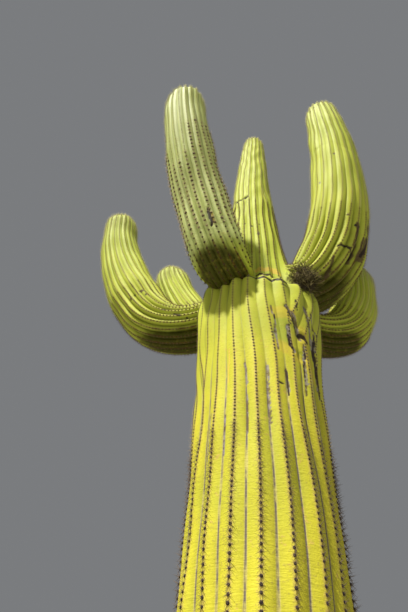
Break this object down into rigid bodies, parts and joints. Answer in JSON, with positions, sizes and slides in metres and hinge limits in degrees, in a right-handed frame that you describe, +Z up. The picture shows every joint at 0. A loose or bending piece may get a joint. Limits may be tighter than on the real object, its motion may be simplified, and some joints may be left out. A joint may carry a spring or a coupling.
{
  "type": "saguaro cactus",
  "caption": "Tall ribbed saguaro cactus with a trunk that swells to a shoulder, upturned ribbed arms round it and a tuft of dry stalks in one crotch.",
  "frame": {"origin": "the middle of the flat cut under the trunk, on the ground", "axes": "+Z up along the trunk, +X to the right and -Y to the front, seen from the side with the nearest arm"},
  "size_m": [2.2289, 1.5875, 7.1456],
  "materials": {
    "green_skin": "waxy yellow-green ribbed skin, olive in the grooves, with brown corky scars",
    "areoles": "dark felted pads in rows along the rib crests",
    "spines": "dry tan to grey-brown spines",
    "dry_stalks": "dry grey-brown stalks and chaff"
  },
  "bodies": {
    "root": {"trunk": "green_skin", "arm_left_bend": "green_skin", "arm_left_limb": "green_skin", "arm_front_bend": "green_skin", "arm_front_limb": "green_skin", "arm_right_bend": "green_skin", "arm_right_limb": "green_skin", "arm_rear_right_bend": "green_skin", "arm_rear_right_limb": "green_skin", "arm_rear_left_bend": "green_skin", "arm_rear_left_limb": "green_skin", "dry_tuft": "dry_stalks"}
  },
  "joints": []
}
